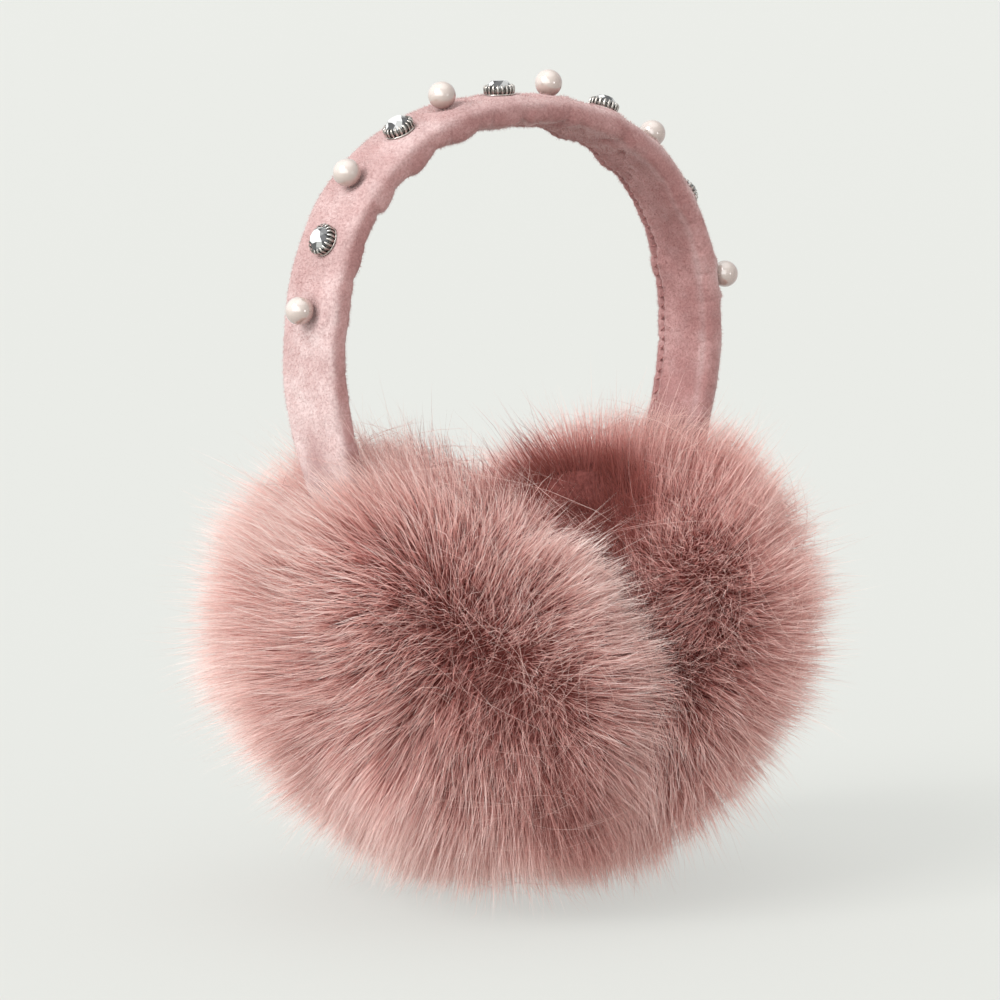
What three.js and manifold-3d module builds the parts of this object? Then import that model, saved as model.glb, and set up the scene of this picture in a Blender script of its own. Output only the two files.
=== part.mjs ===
// Fur earmuffs: a padded velvet headband, trimmed with pearls and claw-set stones, whose two legs
// end in tilted cups of deep fur. The cups' lower edges press together, as they do when the springy
// band isn't worn, and the pair stands on them.
// Units are millimetres. +Z is up, X runs from cup to cup, -Y is the side the view faces, and the
// origin lies on the resting surface, midway between the cups and in their middle plane.
import * as THREE from "three";
import { mergeVertices } from "three/addons/utils/BufferGeometryUtils.js";
import Module from "manifold-3d";

const wasm = await Module();
wasm.setup();

// Headband
const BAND_WIDTH = 24; // front to back
const BAND_THICKNESS = 8.5; // padding and velvet together
const LEG_HALF_SPAN = 70; // middle plane to the middle of a leg, at the widest
const ARCH_RISE = 69; // widest point of the legs up to the middle of the crown
const ARCH_ROUNDNESS = 2.26; // exponent of the arch's superellipse; 2 is an ellipse
const LEG_START_REACH = 20; // how far a leg heads straight down from its widest point
const LEG_END_REACH = 20; // how far it runs along the cup before it ends in it
const BAND_STATIONS = 46; // sections along the band

// Fur cups
const CUP_RADIUS = 80; // fur's outline in the plane of the cup, up and down
const CUP_BREADTH = 75; // the same, front and back
const CUP_HALF_DEPTH = 57; // fur's outline along the ear's axis
const CUP_FULLNESS = 2.16; // exponent of the outline's superellipsoid; 2 is an ellipsoid
const CUP_TILT = 42; // degrees that a cup's plane leans, its foot towards the other cup
const CUP_OFFSET = 26.4; // middle plane to the cup's centre
const CUP_HEIGHT = 70; // cup's centre above the resting surface
const BAND_SETBACK = 6; // how far the band sits behind the middle of the cups
const LEG_RISE = 88.6; // cup's centre up to the widest point of the legs
const BAND_END_ABOVE = 25; // cup's centre to the hidden end of the band, in the cup's plane
const LOCK_COUNT = 58; // locks of fur on each cup
const LOCK_RADIUS = 16; // half the width of a lock at its thickest
const LOCK_SIDES = 5;
const LOCK_DROOP = 4; // how far a lock's tip hangs down
const LOCK_SWAY = 5; // how far it leans to either side
const HOLLOW_RADIUS = 37; // ear's hollow in the inner face, up and down
const HOLLOW_BREADTH = 43; // the same, front and back
const HOLLOW_DEPTH = 27;
const HOLLOW_RAISE = 18; // how far it lies above the cup's centre
const FOOT_SHARE = 1.03; // pressed fur's spread where the cups rest, as a share of the outline
const FOOT_HEIGHT = 6;

// Pearls and stones
const PEARL_RADIUS = 4;
const STONE_RADIUS = 3.9;
const STONE_CROWN = 2; // girdle up to the table
const STONE_PAVILION = 1.25; // girdle down to the point
const STONE_GIRDLE = 0.3; // thickness of the stone's rim
const STONE_SIDES = 16;
const CLAW_COUNT = 8;
const CLAW_WALL = 0.5; // sheet metal
const CLAW_RISE = 0.6; // how far the claws stand above the girdle
const CLAW_GRIP = 0.5; // how far they fold in over the crown
const CLAW_FOLD = 0.3; // thickness of a claw's folded end
const NOTCH_DEPTH = 0.5; // the gaps between claws end this far below the girdle
const FLOOR_GAP = 0.3; // stone's point above the setting's floor
const GIRDLE_HEIGHT = CLAW_WALL + FLOOR_GAP + STONE_PAVILION + STONE_GIRDLE / 2;

const GAP = 0.3; // clearance between neighbouring pieces

const VELVET_PINK = 0xd7a3a1;
const FUR_PINK = 0xb97a76;
const PEARL_WHITE = 0xf1e4dc;
const SILVER = 0xb9b4ae;
const CRYSTAL = 0xe6e4e2;

// The band's section. across: share of half the width, from the front edge at -1 to the back edge at 1.
// out: share of half the thickness, 1 on the outer face and -1 on the inner one, with the seam's groove.
const BAND_SECTION = [
  { across: -0.74, out: 0.88 },
  { across: -0.37, out: 0.98 },
  { across: 0, out: 1 },
  { across: 0.37, out: 0.98 },
  { across: 0.74, out: 0.88 },
  { across: 0.95, out: 0.5 },
  { across: 1, out: 0 },
  { across: 0.95, out: -0.5 },
  { across: 0.74, out: -0.9 },
  { across: 0.62, out: -0.74 },
  { across: 0.5, out: -0.96 },
  { across: 0, out: -1 },
  { across: -0.4, out: -0.98 },
  { across: -0.74, out: -0.9 },
  { across: -0.95, out: -0.5 },
  { across: -1, out: 0 },
  { across: -0.95, out: 0.5 },
];

// Gathers of the velvet at the inner edges. at: place along the band from the crown, as a share of half
// its length. reach: share of the width. swell: share of the thickness. edge: -1 front, 1 back.
const GATHERS = [
  { at: -0.52, reach: 0.24, swell: 0.08, edge: -1 },
  { at: -0.43, reach: 0.26, swell: 0.1, edge: -1 },
  { at: -0.33, reach: 0.3, swell: 0.14, edge: -1 },
  { at: -0.24, reach: 0.36, swell: 0.24, edge: -1 },
  { at: -0.14, reach: 0.3, swell: 0.16, edge: -1 },
  { at: -0.05, reach: 0.28, swell: 0.1, edge: -1 },
  { at: 0.05, reach: 0.3, swell: 0.1, edge: 1 },
  { at: 0.15, reach: 0.36, swell: 0.16, edge: 1 },
  { at: 0.26, reach: 0.3, swell: 0.12, edge: 1 },
  { at: 0.36, reach: 0.3, swell: 0.12, edge: -1 },
  { at: 0.48, reach: 0.26, swell: 0.08, edge: 1 },
];

// Trimming along the band. at: place from the crown, as a share of half the band's length.
// side: distance ahead of the band's middle line, as a share of half the width.
const PEARL_PLACES = [
  { at: -0.519, side: 0.25 },
  { at: -0.321, side: 0.25 },
  { at: -0.132, side: 0.25 },
  { at: 0.062, side: 0.25 },
  { at: 0.269, side: 0.22 },
  { at: 0.503, side: 0.72 },
];
const STONE_PLACES = [
  { at: -0.418, side: 0.3 },
  { at: -0.217, side: 0.25 },
  { at: -0.03, side: 0.25 },
  { at: 0.169, side: 0.25 },
  { at: 0.372, side: 0.22 },
];

// Rings of a lock. along: share of the way from the cup's centre to the fur's outline.
// width: share of LOCK_RADIUS.
const LOCK_RINGS = [
  { along: 0.72, width: 1 },
  { along: 0.93, width: 0.76 },
];
const LOCK_TIP_ALONG = 1.08;
const CORE_SHARE = 0.87; // backing's outline, as a share of the fur's

const radians = THREE.MathUtils.degToRad;
const GOLDEN_ANGLE = Math.PI * (3 - Math.sqrt(5));

// A cup's own axes: out along the ear's axis, up in the cup's plane, and the third one square to both.
function cupFrame(side) {
  const tilt = radians(CUP_TILT);
  const out = new THREE.Vector3(side * Math.cos(tilt), 0, -Math.sin(tilt));
  const up = new THREE.Vector3(side * Math.sin(tilt), 0, Math.cos(tilt));
  const across = new THREE.Vector3().crossVectors(up, out);
  const centre = new THREE.Vector3(side * CUP_OFFSET, 0, CUP_HEIGHT);
  return { out, up, across, centre };
}

// The upper part of the band's middle line, from the left leg's widest point to the right one's.
class ArchLine extends THREE.Curve {
  getPoint(t, target = new THREE.Vector3()) {
    const angle = Math.PI * (1 - t);
    const power = 2 / ARCH_ROUNDNESS;
    const x = Math.cos(angle);
    return target.set(
      LEG_HALF_SPAN * Math.sign(x) * Math.abs(x) ** power,
      BAND_SETBACK,
      CUP_HEIGHT + LEG_RISE + ARCH_RISE * Math.sin(angle) ** power,
    );
  }
}

// A leg's middle line, from its widest point down to its hidden end in the cup.
function legLine(side) {
  const { up, centre } = cupFrame(side);
  const start = new THREE.Vector3(side * LEG_HALF_SPAN, BAND_SETBACK, CUP_HEIGHT + LEG_RISE);
  const end = centre.clone().addScaledVector(up, BAND_END_ABOVE).setY(BAND_SETBACK);
  return new THREE.CubicBezierCurve3(
    start,
    start.clone().setZ(start.z - LEG_START_REACH),
    end.clone().addScaledVector(up, LEG_END_REACH),
    end,
  );
}

// The whole middle line as close points with their distance from the crown, left leg first.
function measureBand() {
  const perCurve = 200;
  const left = legLine(-1).getPoints(perCurve).reverse();
  const arch = new ArchLine().getSpacedPoints(2 * perCurve);
  const right = legLine(1).getPoints(perCurve);
  const points = [...left, ...arch.slice(1), ...right.slice(1)];
  const lengths = [0];
  for (let i = 1; i < points.length; i++) {
    lengths.push(lengths[i - 1] + points[i].distanceTo(points[i - 1]));
  }
  const half = lengths[lengths.length - 1] / 2;
  return { points, lengths: lengths.map((length) => length - half), half };
}
const bandLine = measureBand();

// The point of the middle line at a share of half its length from the crown.
function bandPoint(share) {
  const { points, lengths, half } = bandLine;
  const wanted = THREE.MathUtils.clamp(share, -1, 1) * half;
  let i = 1;
  while (i < lengths.length - 1 && lengths[i] < wanted) i++;
  const part = (wanted - lengths[i - 1]) / (lengths[i] - lengths[i - 1]);
  return points[i - 1].clone().lerp(points[i], part);
}

// Where the band is at that share, which way it runs, and which way its outer face looks.
function bandFrame(share) {
  const step = 0.006;
  const along = bandPoint(Math.min(share + step, 1)).sub(bandPoint(Math.max(share - step, -1))).normalize();
  const outward = new THREE.Vector3(-along.z, 0, along.x);
  return { point: bandPoint(share), along, outward };
}

// A smooth hump, 1 at the middle and 0 from one reach away.
function hump(distance, reach) {
  const t = Math.min(Math.abs(distance) / reach, 1);
  return (1 - t * t) ** 2;
}

// How far the gathers push the inner face in, at a place along and across the band.
function gatherSwell(share, across) {
  let swell = 0;
  for (const gather of GATHERS) {
    const distance = (share - gather.at) * bandLine.half;
    const edge = THREE.MathUtils.smoothstep(across * gather.edge, -0.3, 0.9);
    swell += gather.swell * BAND_THICKNESS * edge * hump(distance, gather.reach * BAND_WIDTH);
  }
  return swell;
}

// A closed mesh from rings of points, each ring as long as the next, capped at both ends.
function loft(rings) {
  const count = rings[0].length;
  const positions = rings.flat().flatMap((p) => [p.x, p.y, p.z]);
  const faces = [];
  for (let r = 0; r + 1 < rings.length; r++) {
    for (let i = 0; i < count; i++) {
      const j = (i + 1) % count;
      const [a, b, c, d] = [r * count + i, r * count + j, (r + 1) * count + j, (r + 1) * count + i];
      faces.push(a, b, c, a, c, d);
    }
  }
  const last = (rings.length - 1) * count;
  for (let i = 1; i + 1 < count; i++) {
    faces.push(0, i + 1, i, last, last + i, last + i + 1);
  }
  const geometry = new THREE.BufferGeometry();
  geometry.setAttribute("position", new THREE.Float32BufferAttribute(positions, 3));
  geometry.setIndex(faces);
  return geometry;
}

// The band as a solid, its section grown on all sides by the given distance.
function bandGeometry(grown, gathered) {
  const halfWidth = BAND_WIDTH / 2;
  const halfThickness = BAND_THICKNESS / 2;
  const rings = [];
  for (let i = 0; i <= BAND_STATIONS; i++) {
    const share = 1 - (2 * i) / BAND_STATIONS;
    const { point, outward } = bandFrame(share);
    const ring = BAND_SECTION.map(({ across, out }) => {
      const swell = gathered && out < 0 ? gatherSwell(share, across) : 0;
      const height = out * (halfThickness + grown) - swell;
      const spot = point.clone().addScaledVector(outward, height);
      spot.y += across * (halfWidth + grown);
      return spot;
    });
    rings.push(ring);
  }
  return loft(rings);
}

// A closed three.js geometry as a manifold-3d solid.
function toSolid(geometry) {
  const bare = new THREE.BufferGeometry();
  const flat = geometry.index ? geometry.toNonIndexed() : geometry;
  bare.setAttribute("position", flat.getAttribute("position"));
  const merged = mergeVertices(bare, 1e-3);
  return new wasm.Manifold(
    new wasm.Mesh({
      numProp: 3,
      vertProperties: new Float32Array(merged.attributes.position.array),
      triVerts: new Uint32Array(merged.index.array),
    }),
  );
}

// A manifold-3d solid as a three.js geometry.
function toGeometry(solid) {
  const mesh = solid.getMesh();
  const geometry = new THREE.BufferGeometry();
  const positions = new Float32Array(mesh.numVert * 3);
  for (let i = 0; i < mesh.numVert; i++) {
    positions.set(mesh.vertProperties.subarray(i * mesh.numProp, i * mesh.numProp + 3), i * 3);
  }
  geometry.setAttribute("position", new THREE.BufferAttribute(positions, 3));
  geometry.setIndex(new THREE.BufferAttribute(mesh.triVerts, 1));
  geometry.computeVertexNormals();
  return geometry;
}

// A box between two corners, as a solid to cut with.
function boxSolid(low, high) {
  const size = new THREE.Vector3().subVectors(high, low);
  const middle = new THREE.Vector3().addVectors(low, high).multiplyScalar(0.5);
  const box = new THREE.BoxGeometry(size.x, size.y, size.z);
  return toSolid(box.translate(middle.x, middle.y, middle.z));
}

// The point of a cup in a direction given in its own axes (unit length), at a share of the way out to
// the fur's outline.
function cupPoint(frame, direction, share) {
  const flat = Math.hypot(direction.y, direction.z);
  const sum = Math.abs(direction.x) ** CUP_FULLNESS + flat ** CUP_FULLNESS;
  const reach = share / sum ** (1 / CUP_FULLNESS);
  return frame.centre
    .clone()
    .addScaledVector(frame.out, direction.x * CUP_HALF_DEPTH * reach)
    .addScaledVector(frame.across, direction.y * CUP_BREADTH * reach)
    .addScaledVector(frame.up, direction.z * CUP_RADIUS * reach);
}

// A smooth solid with the fur's outline, at a share of its size.
function cupBulk(frame, share) {
  const shape = new THREE.SphereGeometry(1, 20, 12);
  const spots = shape.attributes.position;
  for (let i = 0; i < spots.count; i++) {
    const direction = new THREE.Vector3().fromBufferAttribute(spots, i);
    const spot = cupPoint(frame, direction, share);
    spots.setXYZ(i, spot.x, spot.y, spot.z);
  }
  return toSolid(shape);
}

// One lock of fur: a five-sided leaf that swells from the backing and tapers to a drooping tip.
function lockSolid(frame, index, side) {
  const height = 1 - (2 * index + 1) / LOCK_COUNT;
  const turn = index * GOLDEN_ANGLE;
  const flat = Math.sqrt(1 - height * height);
  const direction = new THREE.Vector3(height, side * flat * Math.cos(turn), flat * Math.sin(turn));
  const outward = cupPoint(frame, direction, 1).sub(frame.centre).normalize();
  const first = new THREE.Vector3(0, 0, 1).cross(outward).normalize();
  const second = new THREE.Vector3().crossVectors(outward, first);
  const sway = side * LOCK_SWAY * Math.sin(index * 2.4);
  const droop = second.clone().multiplyScalar(-LOCK_DROOP * second.z);
  const lean = droop.addScaledVector(first, sway);
  const rootAlong = LOCK_RINGS[0].along;
  const bend = (along) => ((along - rootAlong) / (LOCK_TIP_ALONG - rootAlong)) ** 2;
  const rings = LOCK_RINGS.map(({ along, width }) => {
    const middle = cupPoint(frame, direction, along).addScaledVector(lean, bend(along));
    const ring = [];
    for (let i = 0; i < LOCK_SIDES; i++) {
      const angle = (2 * Math.PI * (i + 0.25)) / LOCK_SIDES;
      const spot = middle.clone();
      spot.addScaledVector(first, Math.cos(angle) * width * LOCK_RADIUS);
      spot.addScaledVector(second, Math.sin(angle) * width * LOCK_RADIUS);
      ring.push(spot);
    }
    return ring;
  });
  const tip = cupPoint(frame, direction, LOCK_TIP_ALONG).add(lean);
  return toSolid(withTip(loft(rings), rings, tip));
}

// Draws a loft's last cap out to a point.
function withTip(geometry, rings, tip) {
  const count = rings[0].length;
  const positions = [...geometry.attributes.position.array, tip.x, tip.y, tip.z];
  const faces = [...geometry.index.array];
  const last = (rings.length - 1) * count;
  const capFaces = count - 2;
  const sides = faces.slice(0, faces.length - capFaces * 6);
  for (let i = 1; i + 1 < count; i++) sides.push(0, i + 1, i);
  for (let i = 0; i < count; i++) {
    sides.push(last + i, last + ((i + 1) % count), rings.length * count);
  }
  const pointed = new THREE.BufferGeometry();
  pointed.setAttribute("position", new THREE.Float32BufferAttribute(positions, 3));
  pointed.setIndex(sides);
  return pointed;
}

// The ear's hollow, a bowl sunk into the inner face.
function hollowSolid(frame) {
  const bowl = new THREE.SphereGeometry(1, 20, 12);
  const axes = new THREE.Matrix4().makeBasis(frame.out, frame.across, frame.up);
  bowl.scale(HOLLOW_DEPTH, HOLLOW_BREADTH, HOLLOW_RADIUS).applyMatrix4(axes);
  const mouth = frame.centre.clone().addScaledVector(frame.out, -CUP_HALF_DEPTH);
  mouth.addScaledVector(frame.up, HOLLOW_RAISE);
  return toSolid(bowl.translate(mouth.x, mouth.y, mouth.z));
}

// A whole cup: backing and locks in one piece, hollowed for the ear, slotted for the band's end, pressed
// flat against the other cup and on the surface it rests on.
function cupGeometry(side) {
  const frame = cupFrame(side);
  const reach = 2 * CUP_RADIUS;
  const pieces = [cupBulk(frame, CORE_SHARE)];
  for (let i = 0; i < LOCK_COUNT; i++) pieces.push(lockSolid(frame, i, side));
  const foot = boxSolid(
    new THREE.Vector3(-2 * reach, -reach, 0),
    new THREE.Vector3(2 * reach, reach, FOOT_HEIGHT),
  );
  pieces.push(cupBulk(frame, FOOT_SHARE).intersect(foot));
  const ownSide = boxSolid(
    new THREE.Vector3(side > 0 ? GAP / 2 : -2 * reach, -reach, 0),
    new THREE.Vector3(side > 0 ? 2 * reach : -GAP / 2, reach, 2 * reach),
  );
  const whole = wasm.Manifold.union(pieces).intersect(ownSide);
  const slot = toSolid(bandGeometry(GAP, false));
  return toGeometry(largestPiece(whole.subtract(hollowSolid(frame)).subtract(slot)));
}

// The largest of a solid's separate bodies: cuts can leave crumbs of a lock behind.
function largestPiece(solid) {
  const bodies = solid.decompose();
  return bodies.reduce((best, body) => (body.volume() > best.volume() ? body : best));
}

// Height of the band's outer face over its middle line, at a distance ahead of the middle line.
function outerHeight(ahead) {
  const across = -ahead / (BAND_WIDTH / 2);
  const face = BAND_SECTION.slice(0, 5);
  const next = face.findIndex((point) => point.across >= across);
  const [a, b] = [face[Math.max(next - 1, 0)], face[Math.max(next, 1)]];
  const part = (across - a.across) / (b.across - a.across);
  return ((a.out + part * (b.out - a.out)) * BAND_THICKNESS) / 2;
}

// A group that stands on the band's outer face at one of the trimming's places, its own +Z outward.
function seatOnBand({ at, side }, clearance) {
  const { point, along, outward } = bandFrame(at);
  const ahead = (side * BAND_WIDTH) / 2;
  const across = new THREE.Vector3().crossVectors(outward, along);
  const seat = new THREE.Group();
  const axes = new THREE.Matrix4().makeBasis(along, across, outward);
  seat.quaternion.setFromRotationMatrix(axes);
  seat.position.copy(point).addScaledVector(outward, outerHeight(ahead) + clearance);
  seat.position.y -= ahead;
  return seat;
}

// A cut stone, its girdle at height 0: table, two rows of crown facets, girdle and pavilion.
function stoneGeometry() {
  const half = STONE_GIRDLE / 2;
  const ring = (radius, height) => {
    const points = [];
    for (let i = 0; i < STONE_SIDES; i++) {
      const angle = (2 * Math.PI * i) / STONE_SIDES;
      points.push(new THREE.Vector3(radius * Math.cos(angle), radius * Math.sin(angle), height));
    }
    return points;
  };
  const crown = (share) => half + STONE_CROWN * share;
  // Halfway up the crown every other corner is pulled in, which makes its facets alternate.
  const break_ = ring(STONE_RADIUS * 0.82, crown(0.5));
  for (let i = 0; i < STONE_SIDES; i += 2) break_[i].setZ(crown(0.42));
  return loft([
    ring(STONE_RADIUS * 0.08, -half - STONE_PAVILION),
    ring(STONE_RADIUS, -half),
    ring(STONE_RADIUS, half),
    break_,
    ring(STONE_RADIUS * 0.56, crown(1)),
  ]);
}

// A setting: a sheet-metal cup with its floor at height 0, cut into claws that fold over the stone.
function settingGeometry() {
  const columns = CLAW_COUNT * 2;
  const inner = STONE_RADIUS + GAP;
  const shoulder = GIRDLE_HEIGHT - NOTCH_DEPTH;
  const brim = shoulder + NOTCH_DEPTH / 5;
  // Every other column is the middle of a claw, and the ones between stop at the brim.
  const ring = (claw, between = claw) => {
    const points = [];
    for (let i = 0; i < columns; i++) {
      const angle = (2 * Math.PI * i) / columns;
      const { radius, height } = i % 2 === 0 ? claw : between;
      points.push(new THREE.Vector3(radius * Math.cos(angle), radius * Math.sin(angle), height));
    }
    return points;
  };
  const outer = inner + CLAW_WALL;
  const bend = GIRDLE_HEIGHT + STONE_GIRDLE / 2;
  const tip = GIRDLE_HEIGHT + CLAW_RISE;
  return loft([
    ring({ radius: inner * 0.75, height: 0 }),
    ring({ radius: outer, height: shoulder - NOTCH_DEPTH / 2 }),
    ring({ radius: outer, height: bend }, { radius: outer, height: shoulder }),
    ring({ radius: outer - CLAW_GRIP, height: tip + CLAW_FOLD }, { radius: outer, height: brim }),
    ring({ radius: inner - CLAW_GRIP, height: tip }, { radius: inner, height: brim }),
    ring({ radius: inner, height: bend }, { radius: inner, height: shoulder + NOTCH_DEPTH / 10 }),
    ring({ radius: inner, height: shoulder }),
    ring({ radius: inner * 0.62, height: CLAW_WALL }),
    ring({ radius: inner * 0.15, height: CLAW_WALL }),
  ]);
}

function namedMesh(name, geometry, colour, roughness, metalness) {
  const material = new THREE.MeshStandardMaterial({ color: colour, roughness, metalness });
  const mesh = new THREE.Mesh(geometry, material);
  mesh.name = name;
  return mesh;
}

const earmuffs = new THREE.Group();
earmuffs.add(namedMesh("headband", bandGeometry(0, true), VELVET_PINK, 0.9, 0));
earmuffs.add(namedMesh("fur_cup_left", cupGeometry(-1), FUR_PINK, 0.95, 0));
earmuffs.add(namedMesh("fur_cup_right", cupGeometry(1), FUR_PINK, 0.95, 0));

PEARL_PLACES.forEach((place, i) => {
  const pearl = new THREE.SphereGeometry(PEARL_RADIUS, 12, 8);
  const seat = seatOnBand(place, GAP);
  const mesh = namedMesh(`pearl_${i + 1}`, pearl.rotateX(Math.PI / 2), PEARL_WHITE, 0.25, 0);
  mesh.position.z = PEARL_RADIUS;
  seat.add(mesh);
  earmuffs.add(seat);
});

STONE_PLACES.forEach((place, i) => {
  const seat = seatOnBand(place, GAP);
  const stone = namedMesh(`stone_${i + 1}`, stoneGeometry(), CRYSTAL, 0.05, 0);
  stone.position.z = GIRDLE_HEIGHT;
  seat.add(namedMesh(`setting_${i + 1}`, settingGeometry(), SILVER, 0.3, 1), stone);
  earmuffs.add(seat);
});

export default earmuffs;
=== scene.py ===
"""Fur earmuffs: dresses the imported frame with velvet, fur, pearls and claw-set stones."""

import math

import bpy
import numpy as np
from mathutils import Matrix, Vector, kdtree


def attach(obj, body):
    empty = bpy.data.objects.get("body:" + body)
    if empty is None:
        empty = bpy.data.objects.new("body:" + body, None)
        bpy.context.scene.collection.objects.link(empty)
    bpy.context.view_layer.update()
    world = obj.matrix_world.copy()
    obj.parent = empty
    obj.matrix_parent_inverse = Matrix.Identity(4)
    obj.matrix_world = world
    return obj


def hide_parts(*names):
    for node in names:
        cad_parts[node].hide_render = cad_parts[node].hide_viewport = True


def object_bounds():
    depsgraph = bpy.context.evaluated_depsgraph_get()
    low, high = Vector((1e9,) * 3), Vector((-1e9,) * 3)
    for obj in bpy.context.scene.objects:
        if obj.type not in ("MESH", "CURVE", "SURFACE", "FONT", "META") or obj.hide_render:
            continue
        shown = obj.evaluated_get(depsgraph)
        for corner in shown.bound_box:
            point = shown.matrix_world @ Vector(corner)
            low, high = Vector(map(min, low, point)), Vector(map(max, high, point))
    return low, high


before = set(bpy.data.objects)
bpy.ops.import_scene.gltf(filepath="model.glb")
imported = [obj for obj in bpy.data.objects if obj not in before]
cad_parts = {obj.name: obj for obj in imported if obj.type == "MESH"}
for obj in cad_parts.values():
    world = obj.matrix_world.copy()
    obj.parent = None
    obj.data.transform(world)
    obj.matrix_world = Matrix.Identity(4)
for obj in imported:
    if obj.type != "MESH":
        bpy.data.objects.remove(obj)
cad_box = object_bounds()

MM = 0.001

# Sizes of the solids in millimetres, the same as in the part's source. The arch's roundness and the cups'
# fullness are exponents of their outlines.
BAND_WIDTH = 24.0
BAND_THICKNESS = 8.5
BAND_SETBACK = 6.0
LEG_HALF_SPAN = 70.0
LEG_START_REACH = 20.0
LEG_END_REACH = 20.0
ARCH_RISE = 69.0
ARCH_ROUNDNESS = 2.26
CUP_RADIUS = 80.0
CUP_BREADTH = 75.0
CUP_HALF_DEPTH = 57.0
CUP_FULLNESS = 2.16
CUP_TILT = math.radians(42)
CUP_OFFSET = 26.4
CUP_HEIGHT = 70.0
LEG_RISE = 88.6
BAND_END_ABOVE = 25.0
HOLLOW_RADIUS = 37.0
HOLLOW_BREADTH = 43.0
HOLLOW_DEPTH = 27.0
HOLLOW_RAISE = 18.0
PEARL_RADIUS = 4.0
STONE_RADIUS = 3.9
STONE_CROWN = 2.0
STONE_PAVILION = 1.25
STONE_GIRDLE = 0.3
GIRDLE_HEIGHT = 2.2
SEAT_GAP = 0.3
# How far the velvet swells up round a pearl or setting and dips under it, and a pearl sinks in its seat
SEAT_SWELL = 0.75
SEAT_DENT = 0.35
PEARL_SINK = 0.35

# at: share of half the band's length from the crown; ahead: in front of the middle, share of half the width
PEARLS = [(-0.519, 0.25), (-0.321, 0.25), (-0.132, 0.25), (0.062, 0.25), (0.269, 0.22), (0.503, 0.72)]
STONES = [(-0.418, 0.3), (-0.217, 0.25), (-0.03, 0.25), (0.169, 0.25), (0.372, 0.22)]
# Gathers of the inner edges. at: share along, reach: in band widths, swell: in band thicknesses, edge: -1 is
# the front one and 1 the back one
GATHERS = [
    (-0.52, 0.24, 0.08, -1),
    (-0.43, 0.26, 0.10, -1),
    (-0.33, 0.30, 0.14, -1),
    (-0.24, 0.36, 0.24, -1),
    (-0.14, 0.30, 0.16, -1),
    (-0.05, 0.28, 0.10, -1),
    (0.05, 0.30, 0.10, 1),
    (0.15, 0.36, 0.16, 1),
    (0.26, 0.30, 0.12, 1),
    (0.36, 0.30, 0.12, -1),
    (0.48, 0.26, 0.08, 1),
]
# Creases of the velvet's inner side. at: share along, across: share of half the width, slant: how far
# the crease runs along the band for each millimetre across, depth and width in millimetres
CREASES = [
    (-0.012, -0.75, 0.4, 1.3, 1.2),
    (0.064, -0.7, -0.5, 1.2, 1.3),
    (0.125, -0.5, 0.8, 0.8, 1.8),
    (0.185, -0.65, -0.6, 0.9, 1.6),
    (0.235, -0.3, 0.9, 1.3, 1.2),
    (0.285, 0.1, 1.0, 1.2, 1.1),
    (-0.1, -0.8, 0.3, 0.6, 1.3),
    (-0.19, -0.7, 0.5, 0.5, 1.5),
    (-0.27, -0.6, -0.3, 0.4, 1.4),
    (-0.35, -0.8, 0.4, 0.5, 1.3),
    (-0.43, -0.7, -0.5, 0.4, 1.3),
    (0.39, -0.5, 0.6, 0.7, 1.5),
    (0.46, 0.2, -0.7, 0.7, 1.6),
]
# The inner seam's place as a share of half the width, and in millimetres its depth and the pitch along the
# band of its stitches, its puckers and the small gathers of the inner edges
SEAM_ACROSS = 0.62
SEAM_DEPTH = 1.1
STITCH_PITCH = 3.3
PUCKER_PITCH = 3.4
EDGE_GATHER_PITCH = 9.5
# Velvet: exponent of the band's section, the share of the band it covers, its rows and columns of points,
# and the fibres of its pile, with their length and half width in millimetres
SECTION_POWER = 3.4
COVERED = 0.995
SHEET_ROWS, SHEET_COLUMNS = 620, 64
NAP_FIBRES = 60000
NAP_LENGTHS = (0.5, 1.1)
NAP_HALF_WIDTH = 0.045

# Fur: strands in each layer of a cup's coat, the shares of the way out where roots and backing lie, the
# shares of a strand's length where its points are, and the points of a stray hair
COAT_STRANDS = 33500
ROOT_SHARE = 0.6
BACKING_SHARE = 0.74
STEPS = np.array([0.0, 0.42, 0.76, 1.0])
STRAY_POINTS = 6
# In millimetres: how far the backing stays off the middle plane and the floor, and fur off the band, how near
# and softly fur is pressed to the other cup and the floor, how far tips may pass the solids' box, and how far
# they hang
BACKING_OFF_MIDDLE, BACKING_OFF_FLOOR = 1.5, 1.2
BAND_CLEARANCE = 0.6
CUP_PRESS, CUP_SOFTNESS, CUP_SINK = 0.4, 2.2, 1.6
FLOOR_PRESS, FLOOR_SOFTNESS = 0.35, 1.3
HAZE_REACH, HAZE_SOFTNESS = 12.0, 4
TIP_DROOP = 2.0
# The way the tips are brushed, and where the coat parts and is darkened with painted shade, in the cup's own
# axes
LEFT_FLOW = np.array([-4.2, 3.0, -2.3])
RIGHT_FLOW = np.array([-16.0, 5.0, 0.0])
PARTING_NORMAL = np.array([0.871, 0.49, 0.021])
PARTING_MIDDLE = np.array([-0.24, -0.95, 0.12])
# Directions in the left cup's own axes: where the fur stands longer over the leg's foot, each with the
# share that it adds to the way out, and where painted light makes the tips paler along the seam between the
# cups
LEG_FOOT = ((np.array([0.42, -0.1, 0.9]), 0.15), (np.array([0.2, -0.42, 0.88]), 0.27))
PAINTED_LIT_RIM = np.array([-0.6, -0.78, 0.12])


# Helpers


def unit(v):
    return v / np.maximum(np.linalg.norm(v, axis=-1, keepdims=True), 1e-9)


def full_turn(count):
    """Angles spread evenly round a circle."""
    return np.linspace(0, 2 * math.pi, count, endpoint=False)


def bell(x, width):
    """1 at 0, fading out over the width to both sides."""
    return np.exp(-((x / width) ** 2))


def signed_power(x, power):
    return np.sign(x) * np.abs(x) ** power


def between(at, known, line):
    """Points of a line at places between its known ones."""
    return np.stack([np.interp(at, known, line[:, k]) for k in range(3)], -1)


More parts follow.
